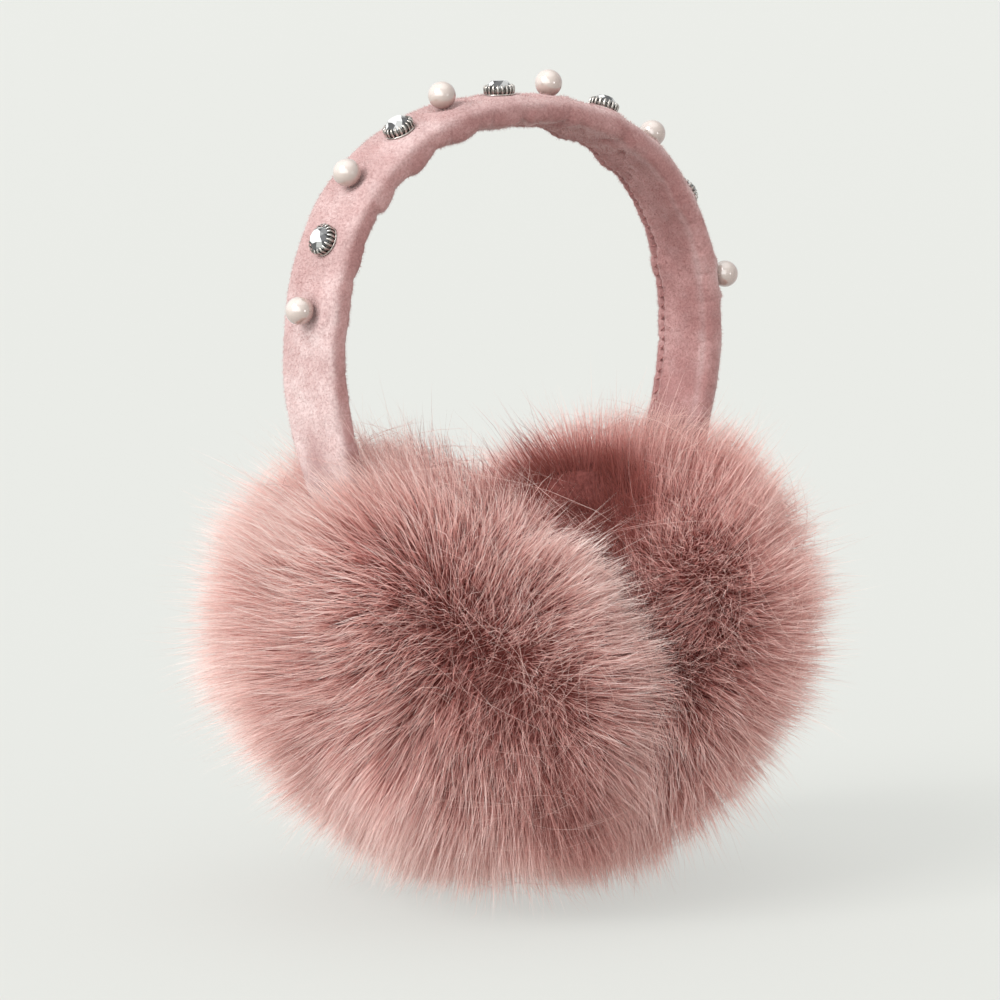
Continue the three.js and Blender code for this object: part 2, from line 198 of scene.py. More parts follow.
def smoothstep(x, low, high):
    t = np.clip((x - low) / (high - low), 0, 1)
    return t * t * (3 - 2 * t)


HASH_X, HASH_Y, HASH_Z, HASH_MIX = 374761393, 668265263, 1442695041, 1274126177
WORD = 0xFFFFFFFF


def lattice_value(x, y, z, seed):
    """The noise's value at a whole-numbered point, from -1 to 1 and the same each run."""
    h = (x * HASH_X + y * HASH_Y + z * HASH_Z + seed * HASH_MIX) & WORD
    h = ((h ^ (h >> 13)) * HASH_MIX) & WORD
    h ^= h >> 16
    return h / 2.0**31 - 1.0


def noise(points, scale, seed):
    """Smooth noise from -1 to 1 at points, with lumps about scale across."""
    p = np.asarray(points, float) / scale
    i = np.floor(p).astype(np.int64)
    f = p - i
    f = f * f * (3 - 2 * f)
    total = np.zeros(p.shape[:-1])
    for corner in np.ndindex(2, 2, 2):
        weight = np.ones(p.shape[:-1])
        for k in range(3):
            weight = weight * (f[..., k] if corner[k] else 1 - f[..., k])
        total += weight * lattice_value(*(i[..., k] + corner[k] for k in range(3)), seed)
    return total


def noise_vector(points, scale, seed):
    return np.stack([noise(points, scale, seed + k) for k in range(3)], -1)


def new_object(name, data):
    ob = bpy.data.objects.new(name, data)
    bpy.context.scene.collection.objects.link(ob)
    return ob


def new_mesh(name, verts, faces, look, smooth=True, floats=None):
    """An object from arrays in millimetres; faces is N by 3 or N by 4. floats are values per vertex."""
    verts = np.ascontiguousarray(verts, np.float32) * MM
    faces = np.ascontiguousarray(faces, np.int32)
    mesh = bpy.data.meshes.new(name)
    mesh.vertices.add(len(verts))
    mesh.vertices.foreach_set("co", verts.ravel())
    mesh.loops.add(faces.size)
    mesh.loops.foreach_set("vertex_index", faces.ravel())
    mesh.polygons.add(len(faces))
    starts = np.arange(0, faces.size, faces.shape[1], dtype=np.int32)
    mesh.polygons.foreach_set("loop_start", starts)
    mesh.polygons.foreach_set("use_smooth", np.full(len(faces), smooth))
    for key, values in (floats or {}).items():
        layer = mesh.attributes.new(key, "FLOAT", "POINT")
        layer.data.foreach_set("value", np.ascontiguousarray(values, np.float32))
    mesh.update(calc_edges=True)
    mesh.validate()
    mesh.materials.append(look)
    return new_object(name, mesh)


def grid_faces(rows, columns):
    """Quads of a rows by columns grid whose columns wrap round."""
    r = np.arange(rows - 1)[:, None]
    c = np.arange(columns)[None, :]
    r2, c2 = r + 1, (c + 1) % columns
    quads = [r * columns + c, r * columns + c2, r2 * columns + c2, r2 * columns + c]
    return np.stack(np.broadcast_arrays(*quads), -1).reshape(-1, 4)


def lathe(profile, sides=48):
    """A turned form from (radius, height) pairs."""
    turn = full_turn(sides)
    radius, height = np.array(profile).T[:, :, None]
    ring = (radius * np.cos(turn), radius * np.sin(turn), height)
    return np.stack(np.broadcast_arrays(*ring), -1).reshape(-1, 3), grid_faces(len(profile), sides)[:, ::-1]


def ball(radius, rows=28, sides=48):
    polar = np.linspace(0, math.pi, rows)
    return lathe(radius * np.stack([np.sin(polar), np.cos(polar)], -1), sides)


def join_parts(parts):
    """[(verts, faces)] as one pair of arrays."""
    verts, faces, at = [], [], 0
    for v, f in parts:
        verts.append(v)
        faces.append(f + at)
        at += len(v)
    return np.concatenate(verts), np.concatenate(faces)


# Materials


def material(name):
    """A new material, its node tree and its shader."""
    m = bpy.data.materials.new(name)
    m.use_nodes = True
    return m, m.node_tree, m.node_tree.nodes["Principled BSDF"]


def put(shader, values):
    """Sets the shader's own sockets."""
    for socket, value in values.items():
        shader.inputs[socket].default_value = value


def add(tree, kind, **values):
    """A new node; values are its sockets or its settings."""
    node = tree.nodes.new(kind)
    for key, value in values.items():
        if key in node.inputs:
            node.inputs[key].default_value = value
        else:
            setattr(node, key, value)
    return node


def ramp(tree, factor, stops):
    """A colour that runs through stops of (place, colour) as the factor goes from 0 to 1."""
    node = tree.nodes.new("ShaderNodeValToRGB")
    elements = node.color_ramp.elements
    while len(elements) < len(stops):
        elements.new(0.5)
    for element, (at, colour) in zip(elements, stops):
        element.position = at
        element.color = (*colour, 1)
    tree.links.new(factor, node.inputs["Fac"])
    return node.outputs["Color"]


def paint(tree, shader, factor, stops):
    tree.links.new(ramp(tree, factor, stops), shader.inputs["Base Color"])


def multiply(tree, a, b):
    node = add(tree, "ShaderNodeMix", data_type="RGBA", blend_type="MULTIPLY")
    node.inputs["Factor"].default_value = 1.0
    tree.links.new(a, node.inputs["A"])
    tree.links.new(b, node.inputs["B"])
    return node.outputs["Result"]


def mix(tree, factor, a, b):
    """Colour a where the factor is 0, and b, a socket or a fixed colour, where it is 1."""
    node = add(tree, "ShaderNodeMix", data_type="RGBA")
    tree.links.new(factor, node.inputs["Factor"])
    tree.links.new(a, node.inputs["A"])
    if isinstance(b, tuple):
        node.inputs["B"].default_value = (*b, 1)
    else:
        tree.links.new(b, node.inputs["B"])
    return node.outputs["Result"]


def attribute(tree, name):
    """A value that the mesh holds for each vertex."""
    return add(tree, "ShaderNodeAttribute", attribute_name=name).outputs["Fac"]


def speckle(tree, shader, scale, detail, stops):
    """Colours a shader by fine noise that is fixed to the object, and returns the noise."""
    coords = add(tree, "ShaderNodeTexCoord")
    grain = add(tree, "ShaderNodeTexNoise", Scale=scale, Detail=detail)
    tree.links.new(coords.outputs["Object"], grain.inputs["Vector"])
    paint(tree, shader, grain.outputs["Fac"], stops)
    return grain.outputs["Fac"]


def emboss(tree, shader, height, distance):
    """Fine relief, in metres, from a noise."""
    bump = add(tree, "ShaderNodeBump", Strength=0.6, Distance=distance)
    tree.links.new(height, bump.inputs["Height"])
    tree.links.new(bump.outputs["Normal"], shader.inputs["Normal"])


SHADE_STOPS = [(0, (0.76, 0.70, 0.69)), (0.5, (0.98, 0.97, 0.97)), (1, (1.12, 1.16, 1.16))]


def fur_material(name, stops, glow, painted_shade_stops=None):
    """Hair: colour runs from root to tip, and light passes partly through. With stops for painted shade, the
    colour is darkened by the edge value.
    """
    m, tree, shader = material(name)
    base = ramp(tree, attribute(tree, "along"), stops)
    colour = multiply(tree, base, ramp(tree, attribute(tree, "tint"), SHADE_STOPS))
    if painted_shade_stops:
        colour = multiply(tree, colour, ramp(tree, attribute(tree, "edge"), painted_shade_stops))
    tree.links.new(colour, shader.inputs["Base Color"])
    put(shader, {"Roughness": 0.65, "Specular IOR Level": 0.12})
    through = add(tree, "ShaderNodeBsdfTranslucent")
    tree.links.new(colour, through.inputs["Color"])
    both = tree.nodes.new("ShaderNodeMixShader")
    both.inputs["Fac"].default_value = glow
    tree.links.new(shader.outputs["BSDF"], both.inputs[1])
    tree.links.new(through.outputs["BSDF"], both.inputs[2])
    tree.links.new(both.outputs["Shader"], tree.nodes["Material Output"].inputs["Surface"])
    return m


FUR_STOPS = [
    (0.0, (0.27, 0.074, 0.061)),
    (0.3, (0.48, 0.185, 0.163)),
    (0.55, (0.77, 0.44, 0.405)),
    (0.8, (0.93, 0.70, 0.66)),
    (1.0, (0.98, 0.87, 0.84)),
]
fur = fur_material("fur_strands", FUR_STOPS, 0.45)
LONG_STOPS = [
    (0.0, (0.12, 0.035, 0.032)),
    (0.4, (0.50, 0.24, 0.22)),
    (0.75, (0.82, 0.56, 0.51)),
    (1.0, (0.93, 0.76, 0.71)),
]
fur_long = fur_material("fur_guard_hairs", LONG_STOPS, 0.45)


def backing_material():
    """The dark skin that the fur grows from."""
    m, tree, shader = material("fur_backing")
    grain = speckle(tree, shader, 900.0, 3.0, [(0.3, (0.10, 0.028, 0.024)), (0.7, (0.20, 0.062, 0.055))])
    emboss(tree, shader, grain, 0.0006)
    put(shader, {"Roughness": 1.0, "Specular IOR Level": 0.1})
    return m


def velvet_material():
    """Short pile with painted light: a pale, lit copy of its colour on the outer face with patches of painted
    sheen, and a deeper, shaded copy on the front edge and inside.
    """
    m, tree, shader = material("velvet")
    coords = add(tree, "ShaderNodeTexCoord")
    patches = add(tree, "ShaderNodeTexNoise", Scale=60.0, Detail=2.0, Roughness=0.5)
    grain = add(tree, "ShaderNodeTexNoise", Scale=1300.0, Detail=4.0, Roughness=0.7)
    for node in (patches, grain):
        tree.links.new(coords.outputs["Object"], node.inputs["Vector"])
    # Lit and shaded copies of one colour: painted light on the outer face, painted shade on the edges and
    # inner face
    lit_outer_stops = [(0.34, (0.46, 0.30, 0.292)), (0.5, (0.50, 0.34, 0.332)), (0.66, (0.59, 0.44, 0.432))]
    shaded_inner_stops = [(0.34, (0.37, 0.185, 0.178)), (0.5, (0.43, 0.23, 0.222)), (0.66, (0.53, 0.315, 0.305))]
    outer = ramp(tree, patches.outputs["Fac"], lit_outer_stops)
    inner = ramp(tree, patches.outputs["Fac"], shaded_inner_stops)
    # Painted sheen: pale patches mixed into the lit outer colour
    outer = mix(tree, attribute(tree, "painted_sheen"), outer, (0.80, 0.69, 0.68))
    # The edge value picks the shaded copy, which is painted shade
    base = mix(tree, attribute(tree, "edge"), outer, inner)
    fine = ramp(tree, grain.outputs["Fac"], [(0.35, (0.72, 0.66, 0.66)), (0.62, (1.0, 1.0, 1.0))])
    colour = multiply(tree, base, fine)
    tree.links.new(colour, shader.inputs["Base Color"])
    put(shader, {"Roughness": 0.85, "Specular IOR Level": 0.15})
    put(shader, {"Sheen Weight": 0.4, "Sheen Roughness": 0.4, "Sheen Tint": (1.0, 0.86, 0.84, 1)})
    emboss(tree, shader, grain.outputs["Fac"], 0.0004)
    return m


backing = backing_material()
velvet = velvet_material()
NAP_STOPS = [(0, (0.50, 0.30, 0.288)), (1, (0.80, 0.61, 0.60))]
# The nap's painted shade, darker where the velvet under it has its painted shade
NAP_PAINTED_SHADE = [(0, (1.0, 1.0, 1.0)), (1, (0.70, 0.53, 0.52))]
nap = fur_material("velvet_nap", NAP_STOPS, 0.4, NAP_PAINTED_SHADE)


def thread_material():
    """Twisted sewing thread, deeper than the velvet."""
    m, tree, shader = material("seam_thread")
    coords = add(tree, "ShaderNodeTexCoord")
    twist = add(tree, "ShaderNodeTexWave", Scale=900.0, Distortion=0.5)
    tree.links.new(coords.outputs["Object"], twist.inputs["Vector"])
    paint(tree, shader, twist.outputs["Fac"], [(0.2, (0.30, 0.12, 0.115)), (0.8, (0.46, 0.21, 0.20))])
    put(shader, {"Roughness": 0.7})
    return m


# Painted light on the pearls, from the side that faces away to the side that faces up and left: painted rose
# reflection, painted grey beige shade, then paler
PEARL_PAINTED_LIGHT_STOPS = [
    (0.0, (0.36, 0.17, 0.15)),
    (0.3, (0.36, 0.225, 0.195)),
    (0.55, (0.37, 0.27, 0.235)),
    (0.8, (0.43, 0.345, 0.305)),
    (1.0, (0.54, 0.46, 0.42)),
]


def pearl_material():
    """Nacre with painted light: paler where it faces up and left, painted grey beige shade below, and a
    painted rose reflection of the velvet under it.
    """
    m, tree, shader = material("pearl")
    geometry = add(tree, "ShaderNodeNewGeometry")
    # Painted light: the colour follows how far each point faces up and to the left
    side = add(tree, "ShaderNodeVectorMath", operation="DOT_PRODUCT")
    side.inputs[1].default_value = (-0.41, -0.08, 0.28)
    tree.links.new(geometry.outputs["Normal"], side.inputs[0])
    painted_light_level = add(tree, "ShaderNodeMath", operation="ADD")
    painted_light_level.inputs[1].default_value = 0.5
    tree.links.new(side.outputs["Value"], painted_light_level.inputs[0])
    paint(tree, shader, painted_light_level.outputs["Value"], PEARL_PAINTED_LIGHT_STOPS)
    put(shader, {"Roughness": 0.2, "Specular IOR Level": 0.8})
    put(shader, {"Coat Weight": 1.0, "Coat Roughness": 0.04, "Coat IOR": 2.3})
    return m


def silver_material():
    """The claws' bright silver, with a little wear."""
    m, tree, shader = material("silver_claws")
    wear = speckle(tree, shader, 700.0, 3.0, [(0.3, (0.26, 0.23, 0.21)), (0.6, (0.56, 0.53, 0.50))])
    rough = add(tree, "ShaderNodeMapRange", **{"To Min": 0.28, "To Max": 0.12})
    tree.links.new(wear, rough.inputs["Value"])
    tree.links.new(rough.outputs["Result"], shader.inputs["Roughness"])
    put(shader, {"Metallic": 1.0})
    return m


def recess_painted_shade_material():
    """Dark silver behind the claws, painted dark as the shade in the gaps between them."""
    m, tree, shader = material("silver_recess")
    speckle(tree, shader, 900.0, 3.0, [(0.3, (0.05, 0.045, 0.04)), (0.7, (0.20, 0.18, 0.165))])
    put(shader, {"Metallic": 0.8, "Roughness": 0.45})
    return m


# Painted reflections: each facet's value runs from dark to bright
FACET_STOPS = [
    (0.0, (0.02, 0.02, 0.022)),
    (0.3, (0.13, 0.13, 0.135)),
    (0.6, (0.42, 0.42, 0.42)),
    (0.85, (0.86, 0.86, 0.86)),
    (1.0, (1.0, 1.0, 0.99)),
]


def crystal_material():
    """Foil-backed stone with painted reflections: each facet is painted as catching or missing the light, as
    its own facet value says.
    """
    m, tree, shader = material("crystal")
    paint(tree, shader, attribute(tree, "facet"), FACET_STOPS)
    put(shader, {"Metallic": 0.8, "Roughness": 0.08, "Coat Weight": 0.6, "Coat Roughness": 0.02})
    return m


thread = thread_material()
pearl_painted_light = pearl_material()
silver = silver_material()
recess = recess_painted_shade_material()
crystal = crystal_material()


# The band's line


def cup_axes(side):
    """A cup's own directions, from the ear out, back and up, and its centre. side: -1 left, 1 right."""
    out = np.array([side * math.cos(CUP_TILT), 0, -math.sin(CUP_TILT)])
    up = np.array([side * math.sin(CUP_TILT), 0, math.cos(CUP_TILT)])
    across = np.array([0.0, 1.0, 0.0])
    centre = np.array([side * CUP_OFFSET, 0, CUP_HEIGHT])
    return out, across, up, centre


def leg_line(side, t):
    """The band's middle line down one leg into the cup."""
    _, _, up, centre = cup_axes(side)
    start = np.array([side * LEG_HALF_SPAN, BAND_SETBACK, CUP_HEIGHT + LEG_RISE])
    end = centre + up * BAND_END_ABOVE
    end[1] = BAND_SETBACK
    second = start - [0, 0, LEG_START_REACH]
    third = end + up * LEG_END_REACH
    t = t[:, None]
    return (1 - t) ** 3 * start + 3 * t * (1 - t) ** 2 * second + 3 * t * t * (1 - t) * third + t**3 * end


def band_line(count):
    """Evenly spaced points of the band's middle line, left leg's end first, and half its length."""
    t = np.linspace(0, 1, 3001)
    angle = math.pi * (1 - t)
    x = LEG_HALF_SPAN * signed_power(np.cos(angle), 2 / ARCH_ROUNDNESS)
    z = CUP_HEIGHT + LEG_RISE + ARCH_RISE * signed_power(np.sin(angle), 2 / ARCH_ROUNDNESS)
    arch = np.stack([x, np.full_like(t, BAND_SETBACK), z], -1)
    line = np.concatenate([leg_line(-1, t)[::-1], arch[1:], leg_line(1, t)[1:]])
    length = np.concatenate([[0], np.cumsum(np.linalg.norm(np.diff(line, axis=0), axis=1))])
    return between(np.linspace(0, length[-1], count), length, line), length[-1] / 2


LINE, HALF = band_line(4001)


def band_frame(share):
    """Point, direction and outward normal of the band at shares of half its length from the crown."""
    share = np.asarray(share, float)
    at = (np.clip(share, -1, 1) + 1) / 2 * (len(LINE) - 1)
    index = np.arange(len(LINE))
    along = unit(between(at + 12, index, LINE) - between(at - 12, index, LINE))
    outward = np.stack([-along[..., 2], np.zeros_like(share), along[..., 0]], -1)
    return between(at, index, LINE), along, outward


# Velvet band


def band_noise(s, scale, seed, y=0.0, z=0.0):
    """Noise along the band at distances from the crown."""
    return noise(np.stack([s, s * 0 + y, s * 0 + z], -1), scale, seed)


def gather_swell(share, across):
    """How far the gathers swell the inner face, in millimetres."""
    swell = np.zeros(np.broadcast(share, across).shape)
    for at, reach, size, edge in GATHERS:
        t = np.minimum(np.abs((share - at) * HALF) / (reach * BAND_WIDTH), 1)
        swell += size * BAND_THICKNESS * smoothstep(across * edge, -0.3, 0.9) * (1 - t * t) ** 2
    return swell


def band_shape(columns):
    """Across and height of the band's section at points round it, each from -1 to 1."""
    turn = full_turn(columns)
    return signed_power(np.cos(turn), 2 / SECTION_POWER), signed_power(np.sin(turn), 2 / SECTION_POWER)


def seam_line(s):
    """Where the inner seam runs, as a share of half the width, at distances from the crown."""
    return SEAM_ACROSS + 0.035 * band_noise(s, 9.0, 3)


def seam_relief(s, across):
    """The seam's groove on the inner face, with the cloth puckered beside it."""
    from_seam = (across - seam_line(s)) * BAND_WIDTH / 2
    deep = SEAM_DEPTH + 0.5 * band_noise(s, 3.1, 8, y=4)
    groove = deep * bell(from_seam, 0.62) - 0.36 * bell(np.abs(from_seam) - 1.5, 0.9)
    phase = s * 2 * math.pi / PUCKER_PITCH + 2.5 * band_noise(s, 12.0, 5, z=9)
    return np.sin(phase) * np.exp(-np.abs(from_seam) / 2.2) * 0.24 - groove


def edge_relief(s, across, height):
    """Gathers drawn across the inner edges, and the deeper single creases."""
    wave = s / EDGE_GATHER_PITCH + 0.7 * band_noise(s, 14.0, 45, y=across * 6)
    valley = (1 - np.abs(np.sin(math.pi * wave))) ** 3
    strength = 0.75 + 0.5 * band_noise(s, 21.0, 47, z=2)
    near_edge = smoothstep(np.abs(across), 0.35, 0.95) * smoothstep(-height, -0.35, 0.45)
    relief = -0.5 * strength * valley * near_edge
    for at, middle, slant, depth, width in CREASES:
        v = (across - middle) * BAND_WIDTH / 2
        u = (s - at * HALF - slant * v) / math.hypot(1, slant)
        fold = bell(u, width) - 0.5 * bell(u - 2.2 * width, 1.4 * width)
        relief = relief - depth * fold * bell(v, 4.2) * smoothstep(-height, -0.2, 0.5)
    return relief


def seat_relief(s, across, height):
    """The padding gives under each pearl and setting and swells up round it."""
    relief = 0.0
    for at, ahead in PEARLS + STONES:
        off = np.hypot(s - at * HALF, (across + ahead) * BAND_WIDTH / 2)
        swell = SEAT_SWELL * bell(off - 5.4, 1.7) - SEAT_DENT * bell(off, 3.2)
        relief = relief + swell * smoothstep(height, 0.3, 0.8)
    return relief


def section_normal(across, height):
    """Which way the section faces at points round it: across the band, and outward from it."""
    sideways = signed_power(across, SECTION_POWER - 1) / (BAND_WIDTH / 2)
    outward = signed_power(height, SECTION_POWER - 1) / (BAND_THICKNESS / 2)
    size = np.hypot(sideways, outward)
    return sideways / size, outward / size


def velvet_painted_light(share, across, height, sheet):
    """Per point: how much painted shade it has, deeper on the inner side and edges and lifted along a painted
    pale rim at the front inner corner, and how much painted pale sheen its pile has on the left leg.
    """
    shade = 1 - smoothstep(height + 0.1 * noise(sheet, 6.0, 51), 0.0, 0.75)
    # A painted pale rim along the front inner corner, taken off the painted shade
    rim = bell(np.hypot(across + 0.86, height + 0.86), 0.16)
    shade = np.clip(shade - 0.75 * rim + 0.25 * noise(sheet, 3.0, 52), 0, 1)
    # Painted sheen: pale patches on the lower part of the left leg
    painted_sheen = smoothstep(-share, 0.4, 0.66) * np.clip(0.45 + 0.5 * noise(sheet, 8.0, 53), 0, 1)
    return shade, painted_sheen


def make_band():
    """The padded band, its relief pushed out along the normals of a rounded section. Also gives its surface
    as rows of points, and its points, faces and shade with the closed ends."""
    share = np.linspace(-COVERED, COVERED, SHEET_ROWS)[:, None]
    across, height = (part[None, :] for part in band_shape(SHEET_COLUMNS))
    point, _, outward = band_frame(share[:, 0])
    s = share * HALF
    sheet = np.stack(np.broadcast_arrays(s, across * BAND_WIDTH / 2, height * 6.0), -1)
    spread_s = np.broadcast_to(s, sheet.shape[:2])
    inner = smoothstep(-height, 0.1, 0.75)
    rise = 0.3 * noise(sheet, 11.0, 21) + 0.16 * noise(sheet, 4.5, 22)
    rise = rise + inner * seam_relief(spread_s, across) + edge_relief(spread_s, across, height)
    rise = rise + seat_relief(s, across, height)
    swell = np.where(height < 0, gather_swell(share, across) * np.minimum(-height * 1.6, 1), 0)
    normal_across, normal_out = section_normal(across, height)
    out = height * BAND_THICKNESS / 2 + rise * normal_out - swell
    surface = point[:, None, :] + outward[:, None, :] * out[..., None]
    surface[..., 1] += across * BAND_WIDTH / 2 + rise * normal_across
    ends = [0.5 * (surface[[r]] + surface[[r]].mean(1, keepdims=True)) for r in (0, -1)]
    verts = np.concatenate([ends[0], surface, ends[1]]).reshape(-1, 3)
    tones = velvet_painted_light(share, across, height, sheet)
    shade, painted_sheen = (np.concatenate([part[:1], part, part[-1:]]).ravel() for part in tones)
    faces = grid_faces(SHEET_ROWS + 2, SHEET_COLUMNS)
    # The edge value carries the painted shade and the second value the painted sheen
    band = new_mesh("velvet_band", verts, faces, velvet, True, {"edge": shade, "painted_sheen": painted_sheen})
    return band, surface, (verts, faces, shade)


def make_nap(skin, count):
    """Short fibres all over the velvet, leaning down the legs in wandering streaks."""
    verts, quads, shade = skin
    tri = np.concatenate([quads[:, [0, 1, 2]], quads[:, [0, 2, 3]]])
    corners = verts[tri]
    cross = np.cross(corners[:, 1] - corners[:, 0], corners[:, 2] - corners[:, 0])
    area = np.linalg.norm(cross, axis=1)
    rng = np.random.default_rng(11)
    pick = rng.choice(len(area), count, p=area / area.sum())
    u, v = rng.random((2, count))
    flip = u + v > 1
    u[flip], v[flip] = 1 - u[flip], 1 - v[flip]
    c = corners[pick]
    root = c[:, 0] + (c[:, 1] - c[:, 0]) * u[:, None] + (c[:, 2] - c[:, 0]) * v[:, None]
    normal = unit(cross[pick])
    down = np.array([0, 0, -1.0])
    lean = down - normal * (normal @ down)[:, None]
    lean = lean * 0.45 + 0.5 * noise_vector(root, 7.0, 41)
    way = unit(normal * 0.75 + lean + rng.normal(0, 0.3, (count, 3)))
    length = rng.uniform(*NAP_LENGTHS, count)[:, None]
    side = unit(np.cross(way, rng.normal(size=(count, 3)))) * NAP_HALF_WIDTH
    spots = np.stack([root - side, root + side, root + way * length], 1).reshape(-1, 3)
    faces = np.arange(count * 3).reshape(-1, 3)
    floats = {
        "along": np.tile([0.0, 0.0, 1.0], count),
        "tint": np.repeat(rng.random(count), 3),
        # The painted shade of the velvet under each fibre
        "edge": np.repeat(shade[tri[pick]].mean(1), 3),
    }
    return new_mesh("velvet_nap", spots, faces, nap, False, floats)


# Stitches: the share of each half of the band that they run along, the thread's radius, and how far the
# five points of a stitch lie in from the face (above 0, into the cloth)
STITCHED = 0.8
THREAD_RADIUS = 0.2
STITCH_LIFTS = (0.35, -0.14, -0.24, -0.14, 0.35)


def make_stitches(surface):
    """Small hand stitches that cross the seam on the band's inner face."""
    rows, columns = surface.shape[:2]
    across, height = band_shape(columns)
    inside = np.where(height < 0)[0]
    order = inside[np.argsort(across[inside])]
    rng = np.random.default_rng(23)
    row_at = np.linspace(-COVERED, COVERED, rows) * HALF
    parts = []
    s = -HALF * STITCHED
    while s < HALF * STITCHED:
        ends = []
        for off, shift in ((-0.5, -0.075), (0.55, 0.075)):
            lower = surface[int(np.interp(s + off, row_at, np.arange(rows)))]
            a = float(seam_line(np.array(s))) + shift * rng.uniform(0.8, 1.2)
            ends.append(between(a, across[order], lower[order]))
        outward = band_frame(s / HALF)[2]
        spots = [ends[0], ends[0], (ends[0] + ends[1]) / 2, ends[1], ends[1]]
        path = np.array([spot + outward * lift for spot, lift in zip(spots, STITCH_LIFTS)])
        parts.append(tube(path, THREAD_RADIUS, 6))
        s += STITCH_PITCH * rng.uniform(0.85, 1.15)
    verts, faces = join_parts(parts)
    return new_mesh("seam_stitches", verts, faces, thread)


def tube(path, radius, sides):
    """A tube of quads along a path, tapered shut at both ends."""
    way = unit(np.gradient(path, axis=0))
    first = unit(np.cross(way, [0.31, 0.82, 0.48]))
    second = np.cross(way, first)
    turn = full_turn(sides)
    radii = np.full(len(path), radius)
    radii[[0, -1]] *= 0.3
    ring = first[:, None] * np.cos(turn)[None, :, None] + second[:, None] * np.sin(turn)[None, :, None]
    verts = path[:, None] + ring * radii[:, None, None]
    return verts.reshape(-1, 3), grid_faces(len(path), sides)


# Fur


def cup_points(side, direction, share):
    """Points of a cup in directions in its own axes, at a share of the way out to the fur's outline."""
    out, across, up, centre = cup_axes(side)
    flat = np.hypot(direction[:, 1], direction[:, 2])
    total = np.abs(direction[:, 0]) ** CUP_FULLNESS + flat**CUP_FULLNESS
    reach = share / total ** (1 / CUP_FULLNESS)
    return (
        centre
        + out * (direction[:, 0] * CUP_HALF_DEPTH * reach)[:, None]
        + across * (direction[:, 1] * CUP_BREADTH * reach)[:, None]
        + up * (direction[:, 2] * CUP_RADIUS * reach)[:, None]
    )


def cup_share(side, points):
    """How far out each point lies, 1 on the fur's outline."""
    out, across, up, centre = cup_axes(side)
    p = points - centre
    a = np.abs(p @ out) / CUP_HALF_DEPTH
    b = np.hypot(p @ across / CUP_BREADTH, p @ up / CUP_RADIUS)
    return (a**CUP_FULLNESS + b**CUP_FULLNESS) ** (1 / CUP_FULLNESS)


def hollow_place(side, points):
    """How deep points lie in the ear's hollow, and how far off its axis, 1 at its edge."""
    out, across, up, centre = cup_axes(side)
    p = points - (centre - out * CUP_HALF_DEPTH + up * HOLLOW_RAISE)
    return p @ out, np.hypot(p @ across / HOLLOW_BREADTH, p @ up / HOLLOW_RADIUS)


def hollow_share(side, points):
    """The same as cup_share for the hollow: under 1 inside it."""
    depth, off = hollow_place(side, points)
    return np.hypot(depth / HOLLOW_DEPTH, off)


def off_band(points):
    """Moves fur out of the headband, to the side of it that the strand's root is on."""
    coarse = LINE[::16]
    outward = band_frame(np.linspace(-1, 1, len(coarse)))[2]
    half_thick = BAND_THICKNESS / 2 + BAND_CLEARANCE
    half_wide = BAND_WIDTH / 2 + BAND_CLEARANCE
    touching = np.where((np.abs(points[:, :, 1] - BAND_SETBACK) < half_wide).any(1))[0]
    keep = np.ones(len(points), bool)
    for block in np.array_split(touching, max(1, len(touching) // 4000)):
        if not len(block):
            continue
        p = points[block]
        gap = p[:, :, None, :] - coarse
        nearest = (gap[..., 0] ** 2 + gap[..., 2] ** 2).argmin(2)
        gap = np.take_along_axis(gap, nearest[:, :, None, None], 2)[:, :, 0]
        normal = outward[nearest]
        rise = (gap * normal).sum(2)
        far = np.hypot(gap[..., 0], gap[..., 2])
        inside = (np.abs(gap[..., 1]) < half_wide) & (far < half_thick)
        keep[block] = ~inside[:, 0]
        over, beside = np.sign(rise[:, :1]), np.sign(gap[:, :1, 1])
        lift = half_thick - rise * over
        slide = half_wide - gap[..., 1] * beside
        p = p + normal * (inside * (lift < slide) * lift * over)[..., None]
        p[..., 1] += inside * (lift >= slide) * slide * beside
        points[block] = p
    return points, keep


def settle(side, points):
    """Presses fur flat against the other cup and on the resting surface, and holds in stray tips."""
    t = points[..., 0] * side
    pressed = CUP_SOFTNESS * np.logaddexp(0, (t - CUP_PRESS) / CUP_SOFTNESS) - CUP_SINK
    points[..., 0] = side * np.where(t < 12, pressed, t)
    z = points[..., 2]
    rested = FLOOR_PRESS + FLOOR_SOFTNESS * np.logaddexp(0, (z - FLOOR_PRESS) / FLOOR_SOFTNESS)
    points[..., 2] = np.where(z < 8, rested, z)
    for axis in (0, 1):
        low, high = cad_box[0][axis] / MM - HAZE_REACH, cad_box[1][axis] / MM + HAZE_REACH
        middle, free = (low + high) / 2, (high - low) / 2 - HAZE_SOFTNESS
        off = points[..., axis] - middle
        over = np.maximum(np.abs(off) - free, 0)
        held = np.minimum(np.abs(off), free) + HAZE_SOFTNESS * np.tanh(over / HAZE_SOFTNESS)
        points[..., axis] = middle + np.sign(off) * held
    return points


GOLDEN_ANGLE = math.pi * (3 - math.sqrt(5))


def spread(count, rng, jitter):
    """Directions spread evenly over a ball, a little disordered."""
    i = np.arange(count) + 0.5
    h = 1 - 2 * i / count
    flat = np.sqrt(1 - h * h)
    turn = i * GOLDEN_ANGLE
    d = np.stack([h, flat * np.cos(turn), flat * np.sin(turn)], -1)
    return unit(d + rng.normal(0, jitter, d.shape))


